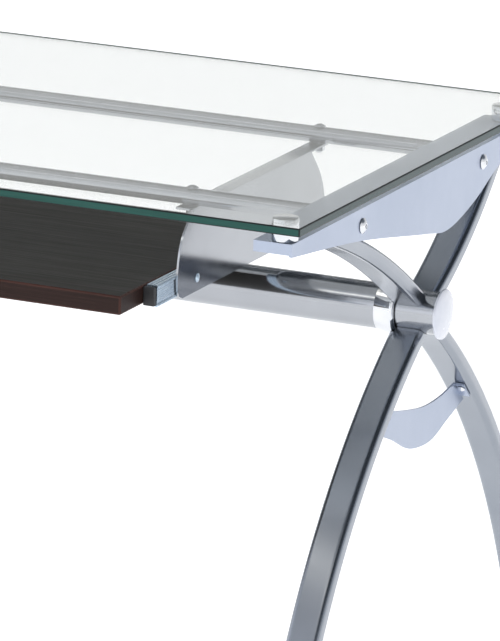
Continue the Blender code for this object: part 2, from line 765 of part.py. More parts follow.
def make_half_legs():
    """Four half legs a side, coped to hub and collar, trimmed under the flange and at the feet."""
    middle = inset(LEG_INSET) - LEG_WIDTH / 2
    outer = rounded_rectangle(LEG_WIDTH, LEG_THICKNESS, LEG_CORNER)
    bore = 2 * LEG_WALL
    inner = rounded_rectangle(LEG_WIDTH - bore, LEG_THICKNESS - bore, LEG_CORNER - LEG_WALL)
    outer = [(middle + x, v) for x, v in outer]
    inner = [(middle + x, v) for x, v in inner]
    low, high = middle - 0.05, middle + 0.05
    under_flange = FLANGE_TOP - SHEET - GAP
    hub = rod("cut_hub", HUB_RADIUS + GAP, 0.2, (middle, HUB_Y, HUB_Z), "X", "silver_paint", 48)
    reach = 2 * LEG_WIDTH
    spot = (inset(COLLAR_OUTER_INSET) + GAP - reach / 2, HUB_Y, HUB_Z)
    collar = rod("cut_collar", COLLAR_LARGE_RADIUS + GAP, reach, spot, "X", "silver_paint", 48)
    trims = {
        "hub": hub,
        "collar": collar,
        "flange": box("cut_flange", (low, -1, under_flange), (high, 1, 1), "silver_paint"),
        "floor": box("cut_floor", (low, -1, -1), (high, 1, FOOT_HEIGHT), "silver_paint"),
    }
    for trim in trims.values():
        as_cutter(trim)
    for half, leg in HALF_LEGS.items():
        steps = max(LEG_LEAST_STEPS, round(abs(leg["sweep"]) / LEG_STEP))
        tube = leg_tube(f"leg_{half}_right", leg, outer, steps, "silver_paint")
        hollow = leg_tube(f"hollow_{half}", leg, inner, steps, "silver_paint")
        cut(tube, as_cutter(hollow), *[trims[key] for key in leg["trims"]])
        if half == "lower_rear":
            cut(tube, brace_screw_hole())
        settle(tube)
        mirror_part(tube, f"leg_{half}_left")


def foot_y(leg):
    """Y of a lower half leg's centre line at the foot."""
    centre_y, centre_z = arc_centre(leg)
    reach = leg["radius"] + leg["offset"]
    return centre_y + leg["ahead"] * math.sqrt(reach ** 2 - (FOOT_HEIGHT - centre_z) ** 2)


def make_glides():
    middle = inset(LEG_INSET) - LEG_WIDTH / 2
    outline = rounded_rectangle(LEG_WIDTH, GLIDE_DEPTH, LEG_CORNER)
    for end in ("front", "rear"):
        y = foot_y(HALF_LEGS[f"lower_{end}"])
        for side, sign in SIDES.items():
            name = f"foot_glide_{end}_{side}"
            spot = (sign * middle, y, (FOOT_HEIGHT - GAP) / 2)
            plate(name, outline, FOOT_HEIGHT - GAP, spot, "flat", "black_plastic")


# ------------------------------------------------------------------ crescent braces


def on_inner_face(leg, drop, lift):
    """(Y, Z) a lift off the face of a lower half leg that looks at its arc's centre."""
    centre_y, centre_z = arc_centre(leg)
    rise = below(drop) - centre_z
    reach = leg["radius"] + leg["offset"] - LEG_THICKNESS / 2 - lift
    run = math.sqrt(reach ** 2 - rise ** 2)
    return centre_y + leg["ahead"] * run, below(drop)


def tab_turn():
    """Turn about X that lays a flat piece on the rear leg's inner face at the tab."""
    centre_y, centre_z = arc_centre(HALF_LEGS["lower_rear"])
    y, z = on_inner_face(HALF_LEGS["lower_rear"], BRACE_TAB_DROP, 0.0)
    return Matrix.Rotation(math.atan2(z - centre_z, y - centre_y) - math.pi / 2, 4, "X")


def tab_point(x, along, lift):
    """Location of a point on the tab: along the leg and lifted off its face."""
    y, z = on_inner_face(HALF_LEGS["lower_rear"], BRACE_TAB_DROP, 0.0)
    return Vector((x, y, z)) + tab_turn() @ Vector((0, along, -lift))


def brace_screw_hole():
    spot = tab_point(inset(BRACE_INSET) + BRACE_SCREW_OFFSET, BRACE_SCREW_ALONG, 0.0)
    hole = rod("hole_brace_screw", BRACE_SCREW_SHANK + GAP, 0.012, spot, "Z", "chrome", 16)
    hole.data.transform(tab_turn())
    return as_cutter(hole)


def make_crescents():
    """Curved sheet braces between the lower half legs, with a tab screwed to the rear one."""
    front, rear = HALF_LEGS["lower_front"], HALF_LEGS["lower_rear"]
    seat = BRACE_GAP + BRACE_SHEET / 2
    front_top = on_inner_face(front, BRACE_FRONT_DROPS[0], BRACE_GAP)
    front_bottom = on_inner_face(front, BRACE_FRONT_DROPS[1], BRACE_GAP)
    rear_top = on_inner_face(rear, BRACE_REAR_DROPS[0], seat)
    rear_bottom = on_inner_face(rear, BRACE_REAR_DROPS[1], seat)
    upper = [(back(y), below(z)) for y, z in BRACE_UPPER]
    lower = [(back(y), below(z)) for y, z in BRACE_LOWER]
    outline = smooth_line([front_top, *upper, rear_top])
    outline += smooth_line([rear_bottom, *lower, front_bottom])
    x = inset(BRACE_INSET)
    right = plate("crescent_brace_right", outline, BRACE_SHEET, (x, 0, 0), "side", "plate_paint")
    half = BRACE_TAB_LENGTH / 2
    tab = box("crescent_tab", (0, -half, 0), (BRACE_TAB_WIDTH, half, BRACE_SHEET), "plate_paint")
    tab.data.transform(tab_turn())
    tab.location = tab_point(x + BRACE_TAB_WIDTH / 2 - BRACE_SHEET / 2, 0.0, seat)
    join(right, tab)
    cut(right, bpy.data.objects["hole_brace_screw"])
    settle(right)
    mirror_part(right, "crescent_brace_left")


def make_brace_screws():
    """Pan-head screws through the crescents' tabs into the rear legs."""
    top = BRACE_GAP + BRACE_SHEET + GAP
    profile = [(radius, top + height) for radius, height in dome(BRACE_SCREW_HEAD, 0.0024, 3)]
    profile[-1] = (BRACE_SCREW_HEAD, top + 0.0004)
    profile += [(BRACE_SCREW_HEAD - 0.0003, top), (BRACE_SCREW_SHANK, top)]
    profile += [(BRACE_SCREW_SHANK, -0.005), (0.0, -0.005)]
    spot = tab_point(inset(BRACE_INSET) + BRACE_SCREW_OFFSET, BRACE_SCREW_ALONG, 0.0)
    right = turned("brace_screw_right", profile, spot, "Z", "chrome", 16)
    right.data.transform(tab_turn() @ Matrix.Rotation(math.pi, 4, "X"))
    mirror_part(right, "brace_screw_left")


make_glass()
make_standoffs()
make_side_plates()
make_cross_tubes()
make_side_screws()
make_brackets()
make_bracket_bolts()
make_slide_channels()
make_slide_screws()
make_tray_and_runners()
make_slide_cages()
make_stretcher()
make_collars()
make_hubs()
make_end_caps()
make_half_legs()
make_glides()
make_crescents()
make_brace_screws()
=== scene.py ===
"""Looks for the glass computer desk: finer pieces, materials, studio and camera."""

import json
import math

import bmesh
import bpy
from mathutils import Matrix, Vector

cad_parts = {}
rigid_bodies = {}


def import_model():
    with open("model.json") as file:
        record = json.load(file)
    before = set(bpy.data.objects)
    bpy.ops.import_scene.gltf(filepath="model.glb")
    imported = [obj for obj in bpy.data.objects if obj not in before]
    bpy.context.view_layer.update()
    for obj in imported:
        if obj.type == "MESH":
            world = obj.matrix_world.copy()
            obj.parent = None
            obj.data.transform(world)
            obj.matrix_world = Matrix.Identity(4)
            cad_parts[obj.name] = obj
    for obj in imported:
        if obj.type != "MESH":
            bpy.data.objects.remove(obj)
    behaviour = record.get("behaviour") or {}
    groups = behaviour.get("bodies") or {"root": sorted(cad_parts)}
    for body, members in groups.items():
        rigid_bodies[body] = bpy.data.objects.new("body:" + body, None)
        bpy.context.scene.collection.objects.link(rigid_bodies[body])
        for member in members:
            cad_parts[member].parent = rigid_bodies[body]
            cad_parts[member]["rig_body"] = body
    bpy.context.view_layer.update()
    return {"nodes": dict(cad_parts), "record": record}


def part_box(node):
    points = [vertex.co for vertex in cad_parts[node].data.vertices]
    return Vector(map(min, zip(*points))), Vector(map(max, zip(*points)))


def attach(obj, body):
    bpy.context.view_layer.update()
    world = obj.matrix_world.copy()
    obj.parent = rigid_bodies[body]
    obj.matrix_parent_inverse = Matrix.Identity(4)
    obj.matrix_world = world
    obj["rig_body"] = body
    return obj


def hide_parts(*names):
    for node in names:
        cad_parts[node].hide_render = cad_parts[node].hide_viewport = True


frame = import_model()
NODES = frame["nodes"]
SLOTS = {part["node"]: part["material_slot"] for part in frame["record"]["subparts"]}

# Camera
CAMERA_AIM = (0.5707, -0.3992, 0.6713)
CAMERA_DISTANCE = 4.774
CAMERA_AZIMUTH = 24.42
CAMERA_ELEVATION = 15.17
CAMERA_ROLL = 1.39
CAMERA_LENS = 389.8
CAMERA_SENSOR = 36.0

# Sizes that the frame's boxes don't give
GAP = 0.0003
HALF_LEGS = {
    "upper_front": {
        "ahead": -1, "climb": 1, "angle": 36.1, "radius": 0.864, "offset": 0.005, "sweep": 24.0,
    },
    "upper_rear": {
        "ahead": 1, "climb": 1, "angle": 22.9, "radius": -0.480, "offset": -0.0025, "sweep": -34.0,
    },
    "lower_front": {
        "ahead": -1, "climb": -1, "angle": 31.7, "radius": 0.711, "offset": -0.012, "sweep": 60.0,
    },
    "lower_rear": {
        "ahead": 1, "climb": -1, "angle": 32.1, "radius": 0.767, "offset": -0.0015, "sweep": 55.0,
    },
}
LEG_THICKNESS = 0.017
LEG_CORNER = 0.006
LEG_WALL = 0.0015
LEG_STEPS = 56
GLASS_ARRIS = 0.0012
TRAY_ARRIS = 0.0018
BALL_RADIUS = 0.0016
BALLS_IN_ROW = 8

# Studio and finish
FLOOR_GLOW = 0.80
OVERHEAD_SUN = 0.55
FILL_SUN = 0.25
FLAKE_GLEAM = 1.25
PORE_GLEAM = 1.5
FIBRE_SHADE = 0.55


# ------------------------------------------------------------------ material helpers


def new_material(name):
    material = bpy.data.materials.new(name)
    material.use_nodes = True
    return material, material.node_tree, material.node_tree.nodes["Principled BSDF"]


def add(tree, kind, **settings):
    node = tree.nodes.new(kind)
    for key, value in settings.items():
        setattr(node, key, value)
    return node


def texture_place(tree, scale):
    """Object coordinates, stretched by a scale along each axis."""
    coordinates = add(tree, "ShaderNodeTexCoord")
    mapping = add(tree, "ShaderNodeMapping")
    mapping.inputs["Scale"].default_value = scale
    tree.links.new(coordinates.outputs["Object"], mapping.inputs["Vector"])
    return mapping.outputs["Vector"]


def noise(tree, scale, detail=4.0, roughness=0.55, distortion=0.0):
    """A noise value stretched along each axis by a scale, in cycles a metre."""
    node = add(tree, "ShaderNodeTexNoise")
    node.inputs["Scale"].default_value = 1.0
    node.inputs["Detail"].default_value = detail
    node.inputs["Roughness"].default_value = roughness
    node.inputs["Distortion"].default_value = distortion
    tree.links.new(texture_place(tree, scale), node.inputs["Vector"])
    return node.outputs["Fac"]


def spread(tree, value, low, high, start=0.3, end=0.7):
    """Stretches a value from start-end to low-high."""
    node = add(tree, "ShaderNodeMapRange")
    for key, number in zip(("From Min", "From Max", "To Min", "To Max"), (start, end, low, high)):
        node.inputs[key].default_value = number
    tree.links.new(value, node.inputs["Value"])
    return node.outputs["Result"]


def blend_colour(tree, factor, first, second):
    node = add(tree, "ShaderNodeMix", data_type="RGBA")
    tree.links.new(factor, node.inputs["Factor"])
    for key, colour in (("A", first), ("B", second)):
        if isinstance(colour, bpy.types.NodeSocket):
            tree.links.new(colour, node.inputs[key])
        else:
            node.inputs[key].default_value = (*colour, 1.0)
    return node.outputs["Result"]


def add_bump(tree, shader, height, distance, strength=1.0):
    node = add(tree, "ShaderNodeBump")
    node.inputs["Distance"].default_value = distance
    node.inputs["Strength"].default_value = strength
    tree.links.new(height, node.inputs["Height"])
    tree.links.new(node.outputs["Normal"], shader.inputs["Normal"])


def coated_metal(name, dark, light, metallic, gloss, coat, flake, peel):
    """Metallic coat: slow shifts of tone and gloss, fine flake and a little orange peel."""
    material, tree, shader = new_material(name)
    shader.inputs["Metallic"].default_value = metallic
    shader.inputs["Coat Weight"].default_value = coat
    shader.inputs["Coat Roughness"].default_value = 0.06
    cloud = noise(tree, (9.0, 9.0, 9.0), 5.0)
    speck = noise(tree, (flake, flake, flake), 2.0, distortion=1.5)
    tone = blend_colour(tree, spread(tree, cloud, 0.0, 1.0), dark, light)
    gleam = [c * FLAKE_GLEAM for c in light]
    speck_tone = blend_colour(tree, spread(tree, speck, 0.0, 1.0, 0.55, 0.8), tone, gleam)
    tree.links.new(speck_tone, shader.inputs["Base Color"])
    smear = noise(tree, (38.0, 38.0, 11.0), 6.0, 0.65)
    tree.links.new(spread(tree, smear, *gloss), shader.inputs["Roughness"])
    peel_noise = noise(tree, (300.0, 300.0, 300.0), 2.0, distortion=1.0)
    add_bump(tree, shader, peel_noise, peel, 0.5)
    return material


def make_chrome():
    material, tree, shader = new_material("chrome")
    shader.inputs["Metallic"].default_value = 1.0
    haze = noise(tree, (70.0, 70.0, 70.0), 6.0, 0.6)
    tone = blend_colour(tree, spread(tree, haze, 0.0, 1.0), (0.68, 0.70, 0.73), (0.78, 0.79, 0.82))
    tree.links.new(tone, shader.inputs["Base Color"])
    tree.links.new(spread(tree, haze, 0.03, 0.10), shader.inputs["Roughness"])
    add_bump(tree, shader, noise(tree, (900.0, 900.0, 900.0), 2.0), 0.000004, 0.5)
    return material


def make_zinc():
    """Bright zinc: bluish, with a soft spangle and drawing lines along the slide."""
    material, tree, shader = new_material("zinc")
    shader.inputs["Metallic"].default_value = 0.9
    spangle = add(tree, "ShaderNodeTexVoronoi")
    spangle.inputs["Scale"].default_value = 1.0
    tree.links.new(texture_place(tree, (260.0, 120.0, 260.0)), spangle.inputs["Vector"])
    tone = blend_colour(tree, spangle.outputs["Distance"], (0.46, 0.58, 0.70), (0.60, 0.70, 0.80))
    tree.links.new(tone, shader.inputs["Base Color"])
    drawn = noise(tree, (900.0, 12.0, 900.0), 3.0)
    tree.links.new(spread(tree, drawn, 0.20, 0.36), shader.inputs["Roughness"])
    add_bump(tree, shader, drawn, 0.00002, 0.5)
    return material


def make_gloss_moulding():
    material, tree, shader = new_material("pale_gloss")
    shader.inputs["Metallic"].default_value = 0.25
    shader.inputs["Coat Weight"].default_value = 0.8
    shader.inputs["Coat Roughness"].default_value = 0.04
    cloud = noise(tree, (60.0, 60.0, 60.0), 4.0)
    tone = blend_colour(tree, spread(tree, cloud, 0.0, 1.0), (0.64, 0.67, 0.76), (0.71, 0.73, 0.81))
    tree.links.new(tone, shader.inputs["Base Color"])
    tree.links.new(spread(tree, cloud, 0.18, 0.28), shader.inputs["Roughness"])
    add_bump(tree, shader, noise(tree, (700.0, 700.0, 700.0), 2.0), 0.000006, 0.5)
    return material


def make_black_plastic():
    material, tree, shader = new_material("black_plastic")
    grain = noise(tree, (1500.0, 1500.0, 1500.0), 3.0)
    tone = blend_colour(tree, spread(tree, grain, 0.0, 1.0), (0.010, 0.010, 0.012), (0.028, 0.028, 0.031))
    tree.links.new(tone, shader.inputs["Base Color"])
    tree.links.new(spread(tree, grain, 0.38, 0.58), shader.inputs["Roughness"])
    add_bump(tree, shader, grain, 0.00006, 0.6)
    return material


def make_wood(name, dark, light, gloss):
    """Wood-grain foil: long fibres along X over slow bands, with fine pores."""
    material, tree, shader = new_material(name)
    bands = noise(tree, (1.6, 30.0, 30.0), 5.0, 0.6, 1.2)
    fibres = noise(tree, (9.0, 520.0, 520.0), 6.0, 0.7, 0.4)
    pores = noise(tree, (30.0, 1500.0, 1500.0), 2.0)
    tone = blend_colour(tree, spread(tree, bands, 0.0, 1.0, 0.35, 0.65), dark, light)
    shade = [c * FIBRE_SHADE for c in dark]
    fibre_tone = blend_colour(tree, spread(tree, fibres, 0.0, 0.75), tone, shade)
    gleam = [c * PORE_GLEAM for c in light]
    pore_tone = blend_colour(tree, spread(tree, pores, 0.0, 0.6, 0.62, 0.75), fibre_tone, gleam)
    tree.links.new(pore_tone, shader.inputs["Base Color"])
    tree.links.new(spread(tree, fibres, *gloss), shader.inputs["Roughness"])
    shader.inputs["Specular IOR Level"].default_value = 0.12
    add_bump(tree, shader, fibres, 0.00010, 0.5)
    return material


def make_glass_face():
    """Clear float glass with faint waves; lamps shine through it."""
    material, tree, shader = new_material("glass_face")
    shader.inputs["Base Color"].default_value = (0.985, 0.997, 0.992, 1.0)
    shader.inputs["Transmission Weight"].default_value = 1.0
    shader.inputs["IOR"].default_value = 1.5
    shader.inputs["Roughness"].default_value = 0.0
    add_bump(tree, shader, noise(tree, (4.0, 9.0, 4.0), 1.0), 0.00002, 0.5)
    let_lamps_through(tree, shader, (0.90, 0.95, 0.935))
    return material


def make_glass_edge(name, deep, pale, roughness):
    """Polished edge in the colours given: on the front and rear edges the deep green that long paths
    through the glass give, on the ends a painted reflection, on the arrises a painted dark reflection and
    painted shade.
    """
    material, tree, shader = new_material(name)
    streak = noise(tree, (14.0, 14.0, 260.0), 4.0, 0.6)
    tone = blend_colour(tree, spread(tree, streak, 0.0, 1.0), deep, pale)
    tree.links.new(tone, shader.inputs["Base Color"])
    tree.links.new(spread(tree, streak, roughness, roughness + 0.08), shader.inputs["Roughness"])
    shader.inputs["IOR"].default_value = 1.5
    shader.inputs["Specular IOR Level"].default_value = 0.30
    let_lamps_through(tree, shader, (0.45, 0.70, 0.62))
    return material


def let_lamps_through(tree, shader, tint):
    """Shadow rays pass through the glass with a tint, so what is below is lit."""
    clear = add(tree, "ShaderNodeBsdfTransparent")
    clear.inputs["Color"].default_value = (*tint, 1.0)
    rays = add(tree, "ShaderNodeLightPath")
    mix = add(tree, "ShaderNodeMixShader")
    tree.links.new(rays.outputs["Is Shadow Ray"], mix.inputs[0])
    tree.links.new(shader.outputs[0], mix.inputs[1])
    tree.links.new(clear.outputs[0], mix.inputs[2])
    tree.links.new(mix.outputs[0], tree.nodes["Material Output"].inputs["Surface"])


MATERIALS = {
    "leg_silver": coated_metal(
        "leg_silver",
        dark=(0.25, 0.275, 0.32),
        light=(0.30, 0.325, 0.37),
        metallic=0.95,
        gloss=(0.20, 0.26),
        coat=0.50,
        flake=2600.0,
        peel=0.000004,
    ),
    "satin_silver": coated_metal(
        "satin_silver",
        dark=(0.35, 0.365, 0.395),
        light=(0.42, 0.435, 0.465),
        metallic=0.97,
        gloss=(0.11, 0.16),
        coat=0.15,
        flake=2600.0,
        peel=0.000004,
    ),
    "plate_paint": coated_metal(
        "plate_paint",
        dark=(0.37, 0.42, 0.53),
        light=(0.42, 0.47, 0.58),
        metallic=0.80,
        gloss=(0.28, 0.35),
        coat=0.15,
        flake=3200.0,
        peel=0.000006,
    ),
    "chrome": make_chrome(),
    "zinc": make_zinc(),
    "pale_gloss": make_gloss_moulding(),
    "black_plastic": make_black_plastic(),
    "espresso_board": make_wood(
        "espresso_board", (0.028, 0.0255, 0.0225), (0.039, 0.0355, 0.031), (0.42, 0.58)
    ),
    "espresso_edge": make_wood("espresso_edge", (0.026, 0.014, 0.012), (0.042, 0.022, 0.019), (0.30, 0.42)),
    "espresso_rim": make_wood("espresso_rim", (0.060, 0.026, 0.021), (0.090, 0.040, 0.033), (0.22, 0.34)),
    "glass_face": make_glass_face(),
    "glass_edge": make_glass_edge("glass_edge", (0.006, 0.060, 0.048), (0.012, 0.085, 0.070), 0.10),
    # Slate ends: the same green glass tinted bluer, a painted reflection of the room seen at a grazing
    # angle.
    "glass_end_painted_reflection": make_glass_edge("glass_end_painted_reflection", (0.016, 0.045, 0.048), (0.026, 0.060, 0.064), 0.10),
    # Near-black arrises: painted dark reflection and painted shade of the gap under the glass, on eased
    # edges of the same green glass.
    "glass_arris_painted_dark": make_glass_edge("glass_arris_painted_dark", (0.002, 0.008, 0.008), (0.005, 0.016, 0.015), 0.30),
}


# ------------------------------------------------------------------ piece helpers


def clean_copy(node):
    """A CAD node's mesh as a bmesh in the row frame, with its flat faces made whole."""
    shape = bmesh.new()
    shape.from_mesh(NODES[node].data)
    bmesh.ops.remove_doubles(shape, verts=shape.verts, dist=0.000005)
    bmesh.ops.dissolve_limit(
        shape, angle_limit=math.radians(0.4), verts=shape.verts, edges=shape.edges, delimit=set()
    )
    return shape


def finish_piece(name, shape, node, materials, bevel=0.0, segments=2, sharp=38.0):
    """Makes a piece that stands for a CAD node and rides on its body."""
    mesh = bpy.data.meshes.new(name)
    shape.to_mesh(mesh)
    shape.free()
    piece = bpy.data.objects.new(name, mesh)
    bpy.context.scene.collection.objects.link(piece)
    for material in materials:
        mesh.materials.append(MATERIALS[material])
    mesh.shade_smooth()
    mesh.set_sharp_from_angle(angle=math.radians(sharp))
    if bevel:
        modifier = piece.modifiers.new("edges", "BEVEL")
        modifier.width = bevel
        modifier.segments = segments
        modifier.limit_method = "ANGLE"
        modifier.angle_limit = math.radians(sharp)
        modifier.harden_normals = True
    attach(piece, NODES[node]["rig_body"])
    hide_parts(node)
    return piece


def refine(node, bevel, segments=2, sharp=38.0):
    """A CAD node again, with eased edges and smooth round faces."""
    slot = SLOTS[node]
    return finish_piece("fine_" + node, clean_copy(node), node, [slot], bevel, segments, sharp)


def sides(pattern):
    return [pattern.format(side=side) for side in ("right", "left")]


def ends_and_sides(pattern):
    return [pattern.format(end=end, side=side) for end in ("front", "rear") for side in ("right", "left")]


# ------------------------------------------------------------------ glass and tray


def slab_with_edges(node, names, arris, segments):
    """A slab with eased edges and materials for its faces, arrises, front and rear edges, and ends."""
    low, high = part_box(node)
    shape = bmesh.new()
    bmesh.ops.create_cube(shape, size=1.0)
    bmesh.ops.scale(shape, vec=high - low, verts=shape.verts)
    bmesh.ops.translate(shape, vec=(low + high) / 2, verts=shape.verts)
    bmesh.ops.bevel(
        shape,
        geom=[*shape.edges, *shape.verts],
        offset=arris,
        segments=segments,
        profile=0.5,
        affect="EDGES",
    )
    shape.normal_update()
    for face in shape.faces:
        straight = [abs(axis) > 0.99 for axis in (face.normal.z, face.normal.y, face.normal.x)]
        face.material_index = [0, 2, 3][straight.index(True)] if any(straight) else 1
    return finish_piece("fine_" + node, shape, node, names, sharp=12.0)


slab_with_edges("glass_top", ["glass_face", "glass_arris_painted_dark", "glass_edge", "glass_end_painted_reflection"], GLASS_ARRIS, 2)
slab_with_edges(
    "keyboard_tray", ["espresso_board", "espresso_rim", "espresso_edge", "espresso_edge"], TRAY_ARRIS, 3
)


# ------------------------------------------------------------------ legs


def rounded_rectangle(width, height, radius, corner_steps):
    points = []
    for sx, sy, start in ((1, 1, 0), (-1, 1, 90), (-1, -1, 180), (1, -1, 270)):
        for i in range(corner_steps + 1):
            angle = math.radians(start + 90 * i / corner_steps)
            u = sx * (width / 2 - radius) + radius * math.cos(angle)
            v = sy * (height / 2 - radius) + radius * math.sin(angle)
            points.append((u, v))
    return points


HUB_LOW, HUB_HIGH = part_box("hub_right")
HUB_Y = (HUB_LOW.y + HUB_HIGH.y) / 2
HUB_Z = (HUB_LOW.z + HUB_HIGH.z) / 2
HUB_RADIUS = (HUB_HIGH.z - HUB_LOW.z) / 2


def swept_leg(leg, middle, section, run_out=0.0):
    """A closed section swept along a half leg's arc from the hub's axis, plus a run-out at both ends."""
    start = math.radians(leg["angle"])
    centre_y = HUB_Y + leg["climb"] * leg["ahead"] * leg["radius"] * math.sin(start)
    centre_z = HUB_Z - leg["radius"] * math.cos(start)
    out_y = (HUB_Y - centre_y) / leg["radius"]
    out_z = (HUB_Z - centre_z) / leg["radius"]
    shape = bmesh.new()
    lifted = [(x, v + leg["offset"]) for x, v in section]
    ring = [shape.verts.new((middle + x, HUB_Y + v * out_y, HUB_Z + v * out_z)) for x, v in lifted]
    face = shape.faces.new(ring)
    centre = Vector((0, centre_y, centre_z))
    run_out = math.copysign(run_out, leg["sweep"])
    step_back = Matrix.Rotation(leg["ahead"] * math.radians(run_out), 4, "X")
    place = Matrix.Translation(centre) @ step_back @ Matrix.Translation(-centre)
    bmesh.ops.transform(shape, matrix=place, verts=shape.verts)
    bmesh.ops.spin(
        shape,
        geom=[face, *face.edges, *face.verts],
        cent=centre,
        axis=(1, 0, 0),
        angle=-leg["ahead"] * math.radians(leg["sweep"] + 2 * run_out),
        steps=LEG_STEPS,
    )
    bmesh.ops.recalc_face_normals(shape, faces=shape.faces)
    return shape


def temporary(name, shape):
    mesh = bpy.data.meshes.new(name)
    shape.to_mesh(mesh)
    shape.free()
    helper = bpy.data.objects.new(name, mesh)
    bpy.context.scene.collection.objects.link(helper)
    return helper


def block(name, low, high):
    low, high = Vector(low), Vector(high)
    shape = bmesh.new()
    bmesh.ops.create_cube(shape, size=1.0)
    bmesh.ops.scale(shape, vec=high - low, verts=shape.verts)
    bmesh.ops.translate(shape, vec=(low + high) / 2, verts=shape.verts)
    return temporary(name, shape)


def hub_rod(name, low_x, high_x, radius):
    shape = bmesh.new()
    bmesh.ops.create_cone(
        shape, cap_ends=True, segments=96, radius1=radius, radius2=radius, depth=high_x - low_x
    )
    middle = (low_x + high_x) / 2
    turn = Matrix.Translation((middle, HUB_Y, HUB_Z)) @ Matrix.Rotation(math.radians(90), 4, "Y")
    bmesh.ops.transform(shape, matrix=turn, verts=shape.verts)
    return temporary(name, shape)


def carve(shape, cutters):
    """The shape less its cutters, as a bmesh."""
    body = temporary("carved", shape)
    for cutter in cutters:
        modifier = body.modifiers.new("cut", "BOOLEAN")
        modifier.operation = "DIFFERENCE"
        modifier.solver = "EXACT"
        modifier.object = cutter
    bpy.context.view_layer.update()
    graph = bpy.context.evaluated_depsgraph_get()
    mesh = bpy.data.meshes.new_from_object(body.evaluated_get(graph))
    result = bmesh.new()
    result.from_mesh(mesh)
    bmesh.ops.remove_doubles(result, verts=result.verts, dist=0.00002)
    bpy.data.objects.remove(body)
    return result


def build_legs():
    for side, sign in (("right", 1), ("left", -1)):
        low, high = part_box(f"leg_lower_front_{side}")
        middle = (low.x + high.x) / 2
        width = high.x - low.x
        outer = rounded_rectangle(width, LEG_THICKNESS, LEG_CORNER, 6)
        inner = rounded_rectangle(
            width - 2 * LEG_WALL, LEG_THICKNESS - 2 * LEG_WALL, LEG_CORNER - LEG_WALL, 4
        )
        flange_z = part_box(f"leg_upper_front_{side}")[1].z
        collar_low, collar_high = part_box(f"collar_{side}")
        collar_radius = (collar_high.z - collar_low.z) / 2 + GAP
        collar_end = max(abs(collar_low.x), abs(collar_high.x)) + GAP
        collar_ends = sorted((sign * (collar_end - 0.05), sign * collar_end))
        trims = [
            hub_rod("trim_hub", middle - 0.1, middle + 0.1, HUB_RADIUS + GAP),
            hub_rod("trim_collar", *collar_ends, collar_radius),
            block("trim_flange", (middle - 0.05, -1, flange_z), (middle + 0.05, 1, 1)),
            block("trim_floor", (middle - 0.05, -1, -1), (middle + 0.05, 1, low.z)),
        ]
        for half, leg in HALF_LEGS.items():
            hollow = temporary("hollow", swept_leg(leg, middle, inner, 0.3))
            tube = carve(swept_leg(leg, middle, outer), [hollow, *trims])
            bpy.data.objects.remove(hollow)
            node = f"leg_{half}_{side}"
            piece = finish_piece("fine_" + node, tube, node, ["leg_silver"], sharp=32.0)
            piece.modifiers.new("even_shading", "WEIGHTED_NORMAL").keep_sharp = True
        for trim in trims:
            bpy.data.objects.remove(trim)


build_legs()


# ------------------------------------------------------------------ slides


def channel_section(low, high, sign):
    """Half-height outline of a rolled slide channel, outer web first, as (X, Z) points."""
    web = high.x if sign > 0 else low.x
    reach = (high.x - low.x) * -sign
    half = (high.z - low.z) / 2
    wall = 0.0012 * -sign
    groove = 0.0005
    ridges = []
    for share in (0.34, 0.68):
        x = web + reach * share
        ridges += [(x + 0.0007 * sign, half), (x, half - groove), (x - 0.0007 * sign, half)]
    upper = [
        (web - 0.0007 * sign, 0.0072),
        (web, 0.0080),
        (web, half - 0.0008),
        (web - 0.0008 * sign, half),
        *ridges,
        (web + reach + 0.0006 * sign, half),
        (web + reach, half - 0.0006),
        (web + reach, half - 0.0030),
        (web + reach - wall * 0.9, half - 0.0032),
        (web + reach - wall * 0.9, half - 0.0016),
        (web + reach - wall * 1.3, half - 0.0012),
        (web + wall * 1.3, half - 0.0012),
        (web + wall, half - 0.0018),
        (web + wall, 0.0072),
    ]
    return upper


def build_channel(side, sign):
    node = f"slide_channel_{side}"
    low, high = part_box(node)
    upper = channel_section(low, high, sign)
    outline = [*upper, *[(x, -z) for x, z in reversed(upper)]]
    middle_z = (low.z + high.z) / 2
    shape = bmesh.new()
    ring = [shape.verts.new((x, low.y, middle_z + z)) for x, z in outline]
    face = shape.faces.new(ring)
    moved = bmesh.ops.extrude_face_region(shape, geom=[face])
    far = [v for v in moved["geom"] if isinstance(v, bmesh.types.BMVert)]
    bmesh.ops.translate(shape, vec=(0, high.y - low.y, 0), verts=far)
    bmesh.ops.recalc_face_normals(shape, faces=shape.faces)
    finish_piece("fine_" + node, shape, node, ["zinc"], 0.00015, 1, 25.0)


def build_balls(side):
    """Steel balls in the cage, above and below the runner."""
    low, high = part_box(f"slide_cage_{side}")
    runner_low, runner_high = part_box(f"slide_runner_{side}")
    middle_z = (runner_low.z + runner_high.z) / 2
    lift = (runner_high.z - runner_low.z) / 2 + BALL_RADIUS + 0.00005
    pitch = (high.y - low.y) / BALLS_IN_ROW
    shape = bmesh.new()
    for i in range(BALLS_IN_ROW):
        for up in (-1, 1):
            spot = ((low.x + high.x) / 2, low.y + pitch * (i + 0.5), middle_z + up * lift)
            bmesh.ops.create_uvsphere(
                shape, u_segments=16, v_segments=10, radius=BALL_RADIUS, matrix=Matrix.Translation(spot)
            )
    mesh = bpy.data.meshes.new(f"slide_balls_{side}")
    shape.to_mesh(mesh)
    shape.free()
    mesh.materials.append(MATERIALS["chrome"])
    mesh.shade_smooth()
    balls = bpy.data.objects.new(mesh.name, mesh)
    bpy.context.scene.collection.objects.link(balls)
    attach(balls, "slide_cages")


for side, sign in (("right", 1), ("left", -1)):
    build_channel(side, sign)
    build_balls(side)


# ------------------------------------------------------------------ every other node

